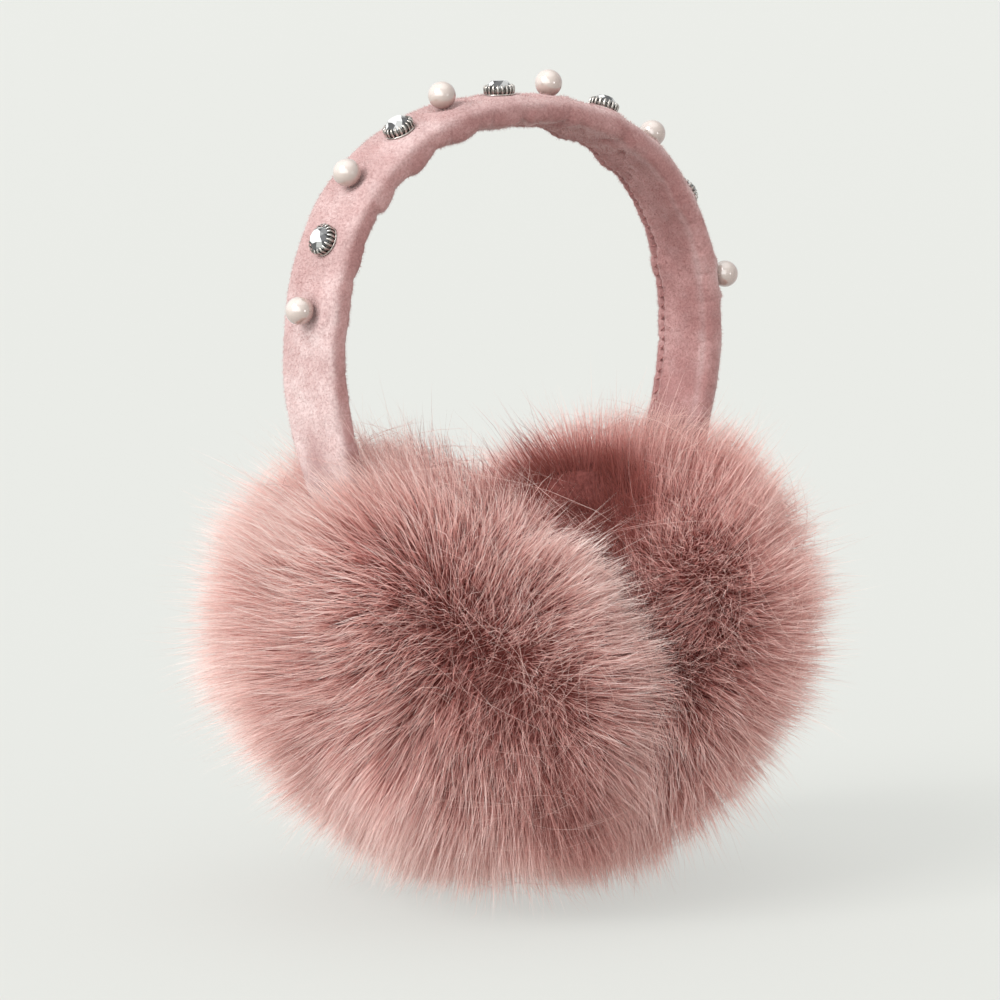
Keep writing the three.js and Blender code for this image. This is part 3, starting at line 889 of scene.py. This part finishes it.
def press(side, base, top, rng):
    """Turns the strands that would cross into the other cup so that they lie along it."""
    inside = base[:, 0] * side - 1.0
    crossing = base[:, 0] * side - top[:, 0] * side
    reach = np.where(crossing > 1e-6, inside / np.maximum(crossing, 1e-6), 1.0)
    cut = np.clip(reach * rng.uniform(0.92, 1.03, len(base)), 0.25, 1.0)
    rest = np.linalg.norm(top - base, axis=1) * (1 - cut)
    away = unit((top - cup_axes(side)[3]) * [0.0, 1.0, 1.0])
    return base + (top - base) * cut[:, None] + away * (rest * 0.6)[:, None]


def stop_at_hollow(side, base, top):
    """Ends the strands that reach into the ear's hollow on its wall."""
    best = np.full(len(base), 0.3)
    clear = np.ones(len(base), bool)
    for t in np.linspace(0.3, 1, 15):
        clear &= hollow_share(side, base + (top - base) * t) > 0.93
        best = np.where(clear, t, best)
    return base + (top - base) * best[:, None]


def patch(d, middle, breadth):
    """1 in one direction, fading out over this breadth round it."""
    return bell(np.linalg.norm(d - middle, axis=1), breadth)


def parting_mask(side, d):
    """1 where the fur parts, which makes its fur a little shorter and darkens its strands with painted shade,
    0 away from there.
    """
    if side < 0:
        parting = bell(d @ PARTING_NORMAL + 0.07, 0.26) * smoothstep(-d[:, 1], 0.05, 0.5)
    else:
        parting = patch(d, PARTING_MIDDLE, 0.42)
    return parting * (1 + 0.6 * noise(d, 0.22, 61))


def leg_foot(side, d):
    """What the left cup's fur adds to its reach round the foot of the leg."""
    extra = np.zeros(len(d))
    for middle, most in LEG_FOOT if side < 0 else ():
        extra = np.maximum(extra, most * patch(d, middle, 0.4))
    return extra


def tone_and_painted_light(side, d, dark, rng):
    """How much paler a strand is, by where it stands; below 0 it is deeper. Painted light makes it paler
    round the cup's rim and, on the left cup, along the seam between the cups; painted shade makes it deeper
    at the parting and, on the right cup, away from it; the rest is random tone.
    """
    tone = 0.06 * (1 - np.abs(d[:, 0])) - 0.30 * np.clip(dark, 0, 1.2) + rng.normal(0, 0.05, len(d))
    if side < 0:
        return tone + 0.3 * patch(d, PAINTED_LIT_RIM, 0.4)
    return tone - 0.17 * smoothstep(np.linalg.norm(d - PARTING_MIDDLE, axis=1), 0.5, 1.0)


def brushed(side, d, where):
    """How the tips are swept from standing straight out: a main flow, broad waves and small tufts."""
    sweep = noise_vector(where, 34.0, 101 + side) * 6.5 + noise_vector(where, 11.0, 131 + side) * 3.6
    sweep[:, 2] -= TIP_DROOP
    if side < 0:
        return sweep + LEFT_FLOW * smoothstep(d[:, 0], -0.4, 0.3)[:, None]
    return sweep + RIGHT_FLOW * patch(d, PARTING_MIDDLE, 0.62)[:, None]


def tufted(side, d, tip, way, share, clump, rng):
    """Draws tips towards those of a few guide strands. clump: how many guides, and how strongly they draw."""
    guide = spread(clump[0], rng, 0.02)
    guide_top = cup_points(side, guide, 1.0)
    tree = kdtree.KDTree(clump[0])
    for i, spot in enumerate(guide_top):
        tree.insert(spot, i)
    tree.balance()
    own = np.array([tree.find(spot)[1] for spot in cup_points(side, d, 1.0)])
    guide_tip = guide_top + brushed(side, guide, guide_top) + rng.normal(0, 1.2, guide_top.shape)
    gathered = guide_tip[own] - way * ((1 - share) * 70)[:, None]
    near = np.linalg.norm(gathered - tip, axis=1) < 9
    pull = (clump[1] * rng.uniform(0.3, 1.0, len(d)) * near)[:, None]
    return tip * (1 - pull) + gathered * pull


def ribbons(name, points, widths, along, look, rng, keep=slice(None)):
    """A thin tapered ribbon along each row of points that is kept. widths: the range to draw from."""
    width, tint = rng.uniform(*widths, len(points))[keep], rng.random(len(points))[keep]
    points, along = points[keep], np.clip(along[keep], 0, 1)
    n, k = points.shape[:2]
    way = unit(np.gradient(points, axis=1))
    facing = unit(np.cross(way, rng.normal(size=(n, 1, 3))))
    taper = np.interp(np.linspace(0, 1, k), [0, 0.5, 0.8, 1], [1, 0.95, 0.68, 0])
    offset = facing * (width[:, None] / 2 * taper)[..., None]
    verts = np.empty((n, 2 * k - 1, 3))
    verts[:, 0 : 2 * k - 2 : 2] = (points - offset)[:, :-1]
    verts[:, 1 : 2 * k - 1 : 2] = (points + offset)[:, :-1]
    verts[:, -1] = points[:, -1]
    strip = []
    for j in range(k - 2):
        strip += [(2 * j, 2 * j + 1, 2 * j + 3), (2 * j, 2 * j + 3, 2 * j + 2)]
    strip.append((2 * k - 4, 2 * k - 3, 2 * k - 2))
    faces = np.arange(n)[:, None, None] * (2 * k - 1) + np.array(strip)
    values = np.concatenate([np.repeat(along[:, :-1], 2, axis=1), along[:, -1:]], 1)
    floats = {"along": values.ravel(), "tint": np.repeat(tint, 2 * k - 1)}
    return new_mesh(name, verts.reshape(-1, 3), faces.reshape(-1, 3), look, False, floats)


def make_fur(name, side, count, seed, reach, widths, look, clump, stray=1.3):
    """The coat: strands from the backing to the fur's outline. reach is the range of the tips' shares."""
    rng = np.random.default_rng(seed)
    d = spread(count, rng, 1.2 / math.sqrt(count))
    dark, foot = parting_mask(side, d), leg_foot(side, d)
    share = reach[0] + (reach[1] - reach[0]) * rng.random(count) ** 1.4 - 0.03 * dark + foot
    base = cup_points(side, d, ROOT_SHARE)
    top = cup_points(side, d, share)
    keep = hollow_share(side, base) > 1.0
    d, share, foot, base, top, dark = (part[keep] for part in (d, share, foot, base, top, dark))
    n = len(d)
    top = press(side, base, stop_at_hollow(side, base, top), rng)
    tip = top + brushed(side, d, top) + rng.normal(0, stray, (n, 3))
    if clump:
        tip = tufted(side, d, tip, unit(top - base), share, clump, rng)
    length = np.linalg.norm(top - base, axis=1)[:, None]
    curl = rng.normal(0, 0.035, (n, 3)) * length
    points = [base + (top - base) * t + (tip - top) * t**2 + curl * math.sin(math.pi * t) for t in STEPS]
    points, keep = off_band(settle(side, np.stack(points, 1)))
    # Painted light and shade, with random tone, shift each strand along the colour ramp
    tone = 1 + tone_and_painted_light(side, d, dark, rng)
    along = STEPS * ((share - 0.5 * foot - ROOT_SHARE) / (1 - ROOT_SHARE) * tone)[:, None]
    # Painted shade: strands near and in the ear's hollow are darkened towards the root colour
    depth = hollow_share(side, points.reshape(-1, 3)).reshape(n, -1)
    along = along * (0.16 + 0.84 * smoothstep(depth, 0.95, 1.4))
    return ribbons(name, points, widths, along, look, rng, keep)


def make_lining(name, side, count, seed):
    """Short dark pile at the bottom of the ear's hollow."""
    rng = np.random.default_rng(seed)
    d = spread(count, rng, 0.02)
    base = cup_points(side, d, ROOT_SHARE)
    keep = (hollow_share(side, base) < 1.08) & (d[:, 0] < 0)
    base = base[keep]
    n = len(base)
    out = cup_axes(side)[0]
    tip = base + (-out + rng.normal(0, 0.45, (n, 3))) * rng.uniform(5, 9, n)[:, None]
    middle = (base + tip) / 2 + rng.normal(0, 0.6, (n, 3))
    points = settle(side, np.stack([base, middle, tip], 1))
    along = np.array([0.0, 0.12, 0.3]) + rng.normal(0, 0.04, (n, 1))
    return ribbons(name, points, (0.16, 0.26), along, fur, rng)


def make_strays(name, side, count, seed):
    """Long fine hairs that lie loosely over the coat in every direction."""
    rng = np.random.default_rng(seed)
    d = spread(count, rng, 0.05)
    start = cup_points(side, d, 0.9)
    centre = cup_axes(side)[3]
    away = unit(start - centre)
    run = unit(np.cross(away, rng.normal(size=(count, 3)))) * rng.uniform(14, 40, count)[:, None]
    bow = unit(np.cross(away, run)) * rng.normal(0, 2.5, count)[:, None]
    rise = rng.uniform(0.93, 1.02, count)
    points = []
    for t in np.linspace(0, 1, STRAY_POINTS):
        raw = start + run * t + bow * math.sin(math.pi * t)
        share = 0.86 + (rise - 0.86) * t**0.7
        points.append(centre + (raw - centre) * (share / cup_share(side, raw))[:, None])
    points = np.stack(points, 1)
    flat = points.reshape(-1, 3)
    loose = (hollow_share(side, flat) > 0.9) & (flat[:, 0] * side > -1) & (flat[:, 2] > 1)
    keep = loose.reshape(count, -1).all(1)
    points, clear = off_band(settle(side, points[keep]))
    points = points[clear]
    along = np.linspace(0.45, 1, STRAY_POINTS) + rng.normal(0, 0.08, (len(points), 1))
    return ribbons(name, points, (0.06, 0.11), along, fur_long, rng)


def make_backing(name, side):
    """The cup under its fur: a full round form with the ear's hollow sunk into its inner face."""
    rows, columns = 72, 96
    d = np.roll(ball(1.0, rows, columns)[0], 1, axis=1)
    verts = cup_points(side, d, BACKING_SHARE)
    depth, off = hollow_place(side, verts)
    bowl = HOLLOW_DEPTH * np.sqrt(np.clip(1 - off**2, 0, 1))
    sunk = np.where((d[:, 0] < 0) & (off < 1), np.maximum(bowl - depth, 0), 0)
    verts = verts + cup_axes(side)[0] * sunk[:, None]
    verts[:, 0] = side * np.maximum(verts[:, 0] * side, BACKING_OFF_MIDDLE)
    verts[:, 2] = np.maximum(verts[:, 2], BACKING_OFF_FLOOR)
    return new_mesh(name, verts, grid_faces(rows, columns), backing)


def make_cup(side):
    """Everything that dresses one cup."""
    word = "left" if side < 0 else "right"
    dense, wide = ((COAT_STRANDS, 1.0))
    under_width, over_width, fine = (0.17 * wide, 0.27 * wide), (0.14 * wide, 0.22 * wide), (0.06, 0.11)
    under = make_backing(f"fur_{word}_backing", side)
    parts = [
        under,
        make_fur(f"fur_{word}_under", side, dense, 71 + side, (0.84, 1.0), under_width, fur, (2400, 0.6)),
        make_fur(f"fur_{word}_over", side, dense, 171 + side, (0.90, 1.05), over_width, fur, (1500, 0.45)),
        make_fur(f"fur_{word}_guard", side, dense // 4, 271 + side, (0.98, 1.15), fine, fur_long, None, 3.0),
        make_lining(f"fur_{word}_lining", side, dense // 3, 371 + side),
        make_strays(f"fur_{word}_strays", side, dense // 10, 471 + side),
    ]
    for piece in parts:
        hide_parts(f"fur_cup_{word}")
    return parts


# Trimming


def placed(verts, at, ahead, lift=0.0):
    """Points moved to a place on the band's outer face: X along the band, Z outward."""
    point, along, outward = band_frame(at)
    bulge = (1 - ahead**SECTION_POWER) ** (1 / SECTION_POWER)
    height = bulge * BAND_THICKNESS / 2 + SEAT_GAP
    spot = point + outward * height - np.array([0, ahead * BAND_WIDTH / 2, 0])
    axes = np.stack([along, np.cross(outward, along), outward], 1)
    return (verts + [0, 0, lift]) @ axes.T + spot


# A round brilliant's rings, as shares of its radius, and the painted reflection of each of its kinds of
# facet, how brightly it shows from 0 to 1, taken in turn round the stone
TABLE_SHARE, STAR_SHARE, LOWER_SHARE = 0.56, 0.77, 0.26
TABLE_LIGHT = 0.97
STAR_LIGHTS = (0.25, 0.8, 0.45, 0.1)
KITE_LIGHTS = (0.7, 0.15, 0.35, 0.9, 0.2)
LEFT_HALF_LIGHTS = (0.1, 0.5, 0.25)
RIGHT_HALF_LIGHTS = (0.6, 0.05, 0.35, 0.15)
GIRDLE_LIGHT = 0.5
PAVILION_LIGHT = 0.1


def brilliant(radius, crown, pavilion, girdle):
    """A round brilliant: table, stars, kites, halves, girdle and pavilion, as loose triangles."""
    eighth = np.arange(8) * math.pi / 4
    half = eighth + math.pi / 8

    def ring(angles, r, z):
        return [(r * math.cos(a), r * math.sin(a), z) for a in angles]

    g = girdle / 2
    flat = math.cos(math.pi / 8)
    star_height = g + crown * (1 - STAR_SHARE * flat) / (1 - TABLE_SHARE)
    lower_height = -g - pavilion * (1 - LOWER_SHARE * flat)
    verts = (
        ring(eighth, radius * TABLE_SHARE, g + crown)
        + ring(half, radius * STAR_SHARE, star_height)
        + ring(eighth, radius, g)
        + ring(half, radius, g)
        + ring(eighth, radius, -g)
        + ring(half, radius, -g)
        + ring(half, radius * LOWER_SHARE, lower_height)
        + [(0, 0, -g - pavilion), (0, 0, g + crown)]
    )
    # the first point of each ring: table, stars, girdle's upper and lower edges, pavilion; then the two ends
    T, S, A, B, C, D, L, culet, top = 0, 8, 16, 24, 32, 40, 48, 56, 57
    faces, values = [], []

    def facet(value, *triangles):
        faces.extend(triangles)
        values.extend([value] * len(triangles))

    for k in range(8):
        n, m = (k + 1) % 8, (k - 1) % 8
        facet(TABLE_LIGHT, (top, T + k, T + n))
        facet(STAR_LIGHTS[k % 4], (T + k, S + k, T + n))
        facet(KITE_LIGHTS[k % 5], (T + k, S + m, A + k), (T + k, A + k, S + k))
        facet(LEFT_HALF_LIGHTS[k % 3], (S + k, A + k, B + k))
        facet(RIGHT_HALF_LIGHTS[k % 4], (S + k, B + k, A + n))
        facet(GIRDLE_LIGHT, (A + k, C + k, D + k), (A + k, D + k, B + k))
        facet(GIRDLE_LIGHT, (B + k, D + k, C + n), (B + k, C + n, A + n))
        facet(PAVILION_LIGHT, (C + k, L + k, D + k), (D + k, L + k, C + n))
        facet(PAVILION_LIGHT, (C + k, L + m, culet), (C + k, culet, L + k))
    loose = np.array(verts, float)[np.array(faces)].reshape(-1, 3)
    return loose, np.arange(len(loose)).reshape(-1, 3), np.repeat(values, 3)


CLAWS = 20
CLAW_SPACE = 0.12
CLAW_SHEET = 0.15
# Outline of a claw from the foot up and over the stone's rim: distance from the rim, height, half width
CLAW_LINE = [
    (-1.0, 0.1, 0.3),
    (-0.1, 0.3, 0.36),
    (0.3, 0.8, 0.4),
    (0.38, 1.5, 0.4),
    (0.42, 2.2, 0.42),
    (0.34, 2.6, 0.4),
    (0.0, 2.86, 0.34),
    (-0.42, 3.0, 0.16),
]
# Section of a claw: share of its half width, and of its sheet's thickness
CLAW_SECTION = ((-1, -0.4), (-0.6, 0.85), (0, 1.25), (0.6, 0.85), (1, -0.4), (0, -0.9))


def one_claw(angle):
    """A strip of sheet metal that stands on the setting's foot and folds over the stone."""
    line = np.array(CLAW_LINE)
    radius, height, half = line[:, 0] + STONE_RADIUS + CLAW_SPACE, line[:, 1], line[:, 2]
    step = unit(np.stack([np.gradient(radius), np.gradient(height)], -1))
    radial = np.array([math.cos(angle), math.sin(angle), 0])
    sideways = np.array([-math.sin(angle), math.cos(angle), 0])
    up = np.array([0, 0, 1.0])
    middle = radius[:, None] * radial + height[:, None] * up
    face = step[:, 1:] * radial - step[:, :1] * up
    rings = [middle + half[:, None] * c * sideways + face * CLAW_SHEET * t for c, t in CLAW_SECTION]
    verts = np.stack(rings, 1).reshape(-1, 3)
    return verts, grid_faces(len(CLAW_LINE), len(CLAW_SECTION))[:, ::-1]


def setting_parts():
    """The claws with the bead under them, and the recess behind them, painted dark as shade."""
    rim = STONE_RADIUS + CLAW_SPACE
    lip = [(rim - 0.05, 2.05), (rim + 0.12, 2.07), (rim + 0.14, 1.0)]
    cup = [(0.01, 0.45), (2.4, 0.5), *lip, (rim * 0.8, 0.12)]
    bead = [(rim, 0.0), (rim + 0.42, 0.1), (rim + 0.48, 0.36), (rim + 0.3, 0.56), (rim, 0.5)]
    claws = [one_claw(2 * math.pi * k / CLAWS) for k in range(CLAWS)]
    return join_parts(claws + [lathe(bead)]), lathe(cup)


def make_pearls():
    """The pearls, each sunk a little into the velvet."""
    verts, faces = ball(PEARL_RADIUS)
    made = []
    for i, (at, ahead) in enumerate(PEARLS, 1):
        spots = placed(verts, at, ahead, PEARL_RADIUS - PEARL_SINK)
        pearl = new_mesh(f"pearl_{i}_lustre", spots, faces, pearl_painted_light)
        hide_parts(f"pearl_{i}")
        made.append(pearl)
    return made


def make_stones():
    """The claw settings, each with its recess and its stone, turned a little from one to the next."""
    (claw_verts, claw_faces), (cup_verts, cup_faces) = setting_parts()
    stone_verts, stone_faces, facets = brilliant(STONE_RADIUS, STONE_CROWN, STONE_PAVILION, STONE_GIRDLE)
    made = []
    for i, (at, ahead) in enumerate(STONES):
        spin = np.array(Matrix.Rotation(0.4 * i, 3, "Z")).T
        metal = new_mesh(f"setting_{i + 1}_claws", placed(claw_verts @ spin, at, ahead), claw_faces, silver)
        dark = new_mesh(f"setting_{i + 1}_recess", placed(cup_verts, at, ahead), cup_faces, recess)
        spots = placed(stone_verts @ spin, at, ahead, GIRDLE_HEIGHT)
        stone = new_mesh(f"stone_{i + 1}_cut", spots, stone_faces, crystal, False, {"facet": facets})
        for piece in (metal, dark):
            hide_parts(f"setting_{i + 1}")
        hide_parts(f"stone_{i + 1}")
        made += [metal, dark, stone]
    return made


# Build

band, surface, skin = make_band()
fibres = make_nap(skin, NAP_FIBRES)
stitches = make_stitches(surface)
for piece in (band, fibres, stitches):
    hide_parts("headband")

pieces = [band, fibres, stitches] + make_pearls() + make_stones()

for side in (-1, 1):
    pieces += make_cup(side)
for piece in pieces:
    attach(piece, "root")

# Stage, light and camera

FLOOR_RADIUS, FLOOR_SIDES = 24000, 96
AZIMUTH, ELEVATION = math.radians(38.86), math.radians(7.44)
CAMERA_DISTANCE = 1.27146
SENSOR = 36
LENS = 4.35672 * SENSOR
# Where the camera aims, in millimetres: right of the middle plane, and below the legs' widest point
AIM_RIGHT, AIM_BELOW = -2.45, 44.43
# name, the place that it shines from, strength, spread in degrees, colour
SUNS = [
    ("key_left", (-1.0, 0.0, 0.85), 1.8, 32, (1, 0.985, 0.97)),
    ("fill_left", (-1.0, -0.5, 0.12), 1.2, 70, (1, 1, 1)),
    ("top", (0.1, -0.2, 1.5), 0.35, 60, (1, 1, 1)),
    ("glint_left", (-0.857, 0.165, 0.486), 0.7, 11, (1, 1, 1)),
    ("glint_right", (0.146, -0.987, 0.051), 0.1, 6, (1, 1, 1)),
]


def make_floor():
    """A wide pale disc that glows a little, so that it meets the sky without an edge."""
    look, tree, shader = material("pale_floor")
    patches = add(tree, "ShaderNodeTexNoise", Scale=3.0, Detail=2.0)
    paint(tree, shader, patches.outputs["Fac"], [(0.0, (0.168, 0.172, 0.164)), (1.0, (0.172, 0.176, 0.168))])
    put(shader, {"Roughness": 0.9, "Specular IOR Level": 0.1})
    put(shader, {"Emission Color": (0.99, 1.0, 0.96, 1), "Emission Strength": 0.525})
    turn = full_turn(FLOOR_SIDES)
    rim = np.stack([np.cos(turn) * FLOOR_RADIUS, np.sin(turn) * FLOOR_RADIUS, turn * 0], -1)
    fan = np.array([(i, (i + 1) % FLOOR_SIDES, FLOOR_SIDES) for i in range(FLOOR_SIDES)])
    return new_mesh("floor", np.concatenate([rim, [[0, 0, 0]]]), fan, look, False)


def make_camera():
    right = Vector((math.cos(AZIMUTH), -math.sin(AZIMUTH), 0))
    flat = math.cos(ELEVATION)
    back = Vector((-math.sin(AZIMUTH) * flat, -math.cos(AZIMUTH) * flat, math.sin(ELEVATION)))
    middle = Vector((0, BAND_SETBACK, CUP_HEIGHT + LEG_RISE - AIM_BELOW))
    place = right * AIM_RIGHT * MM + middle * MM + back * CAMERA_DISTANCE
    data = bpy.data.cameras.new("camera")
    data.sensor_width = SENSOR
    data.lens = LENS
    data.clip_start, data.clip_end = 0.05, 100
    camera = new_object("camera", data)
    turned = Matrix((right, back.cross(right), back)).transposed().to_4x4()
    camera.matrix_world = Matrix.Translation(place) @ turned
    return camera


def make_sun(name, place, strength, degrees, colour):
    data = bpy.data.lights.new(name, "SUN")
    data.energy = strength
    data.angle = math.radians(degrees)
    data.color = colour
    ob = new_object(name, data)
    ob.location = place
    ob.rotation_mode = "QUATERNION"
    ob.rotation_quaternion = (-Vector(place)).to_track_quat("-Z", "Y")


def make_sky():
    """Even white light, stronger from above the left."""
    world = bpy.data.worlds.new("studio")
    world.use_nodes = True
    tree = world.node_tree
    coords = add(tree, "ShaderNodeTexCoord")
    side = add(tree, "ShaderNodeVectorMath", operation="DOT_PRODUCT")
    side.inputs[1].default_value = (-0.86, 0.1, 0.5)
    tree.links.new(coords.outputs["Generated"], side.inputs[0])
    limits = {"From Min": -0.9, "From Max": 0.9, "To Min": 0.68, "To Max": 1.18}
    fade = add(tree, "ShaderNodeMapRange", **limits)
    tree.links.new(side.outputs["Value"], fade.inputs["Value"])
    tree.links.new(fade.outputs["Result"], tree.nodes["Background"].inputs["Strength"])
    tree.nodes["Background"].inputs["Color"].default_value = (0.985, 1.0, 0.985, 1)
    return world


make_floor()
bpy.context.scene.camera = make_camera()
for lamp in SUNS:
    make_sun(*lamp)
bpy.context.scene.world = make_sky()
bpy.context.scene.view_settings.view_transform = "Standard"
bpy.context.scene.cycles.max_bounces = 5
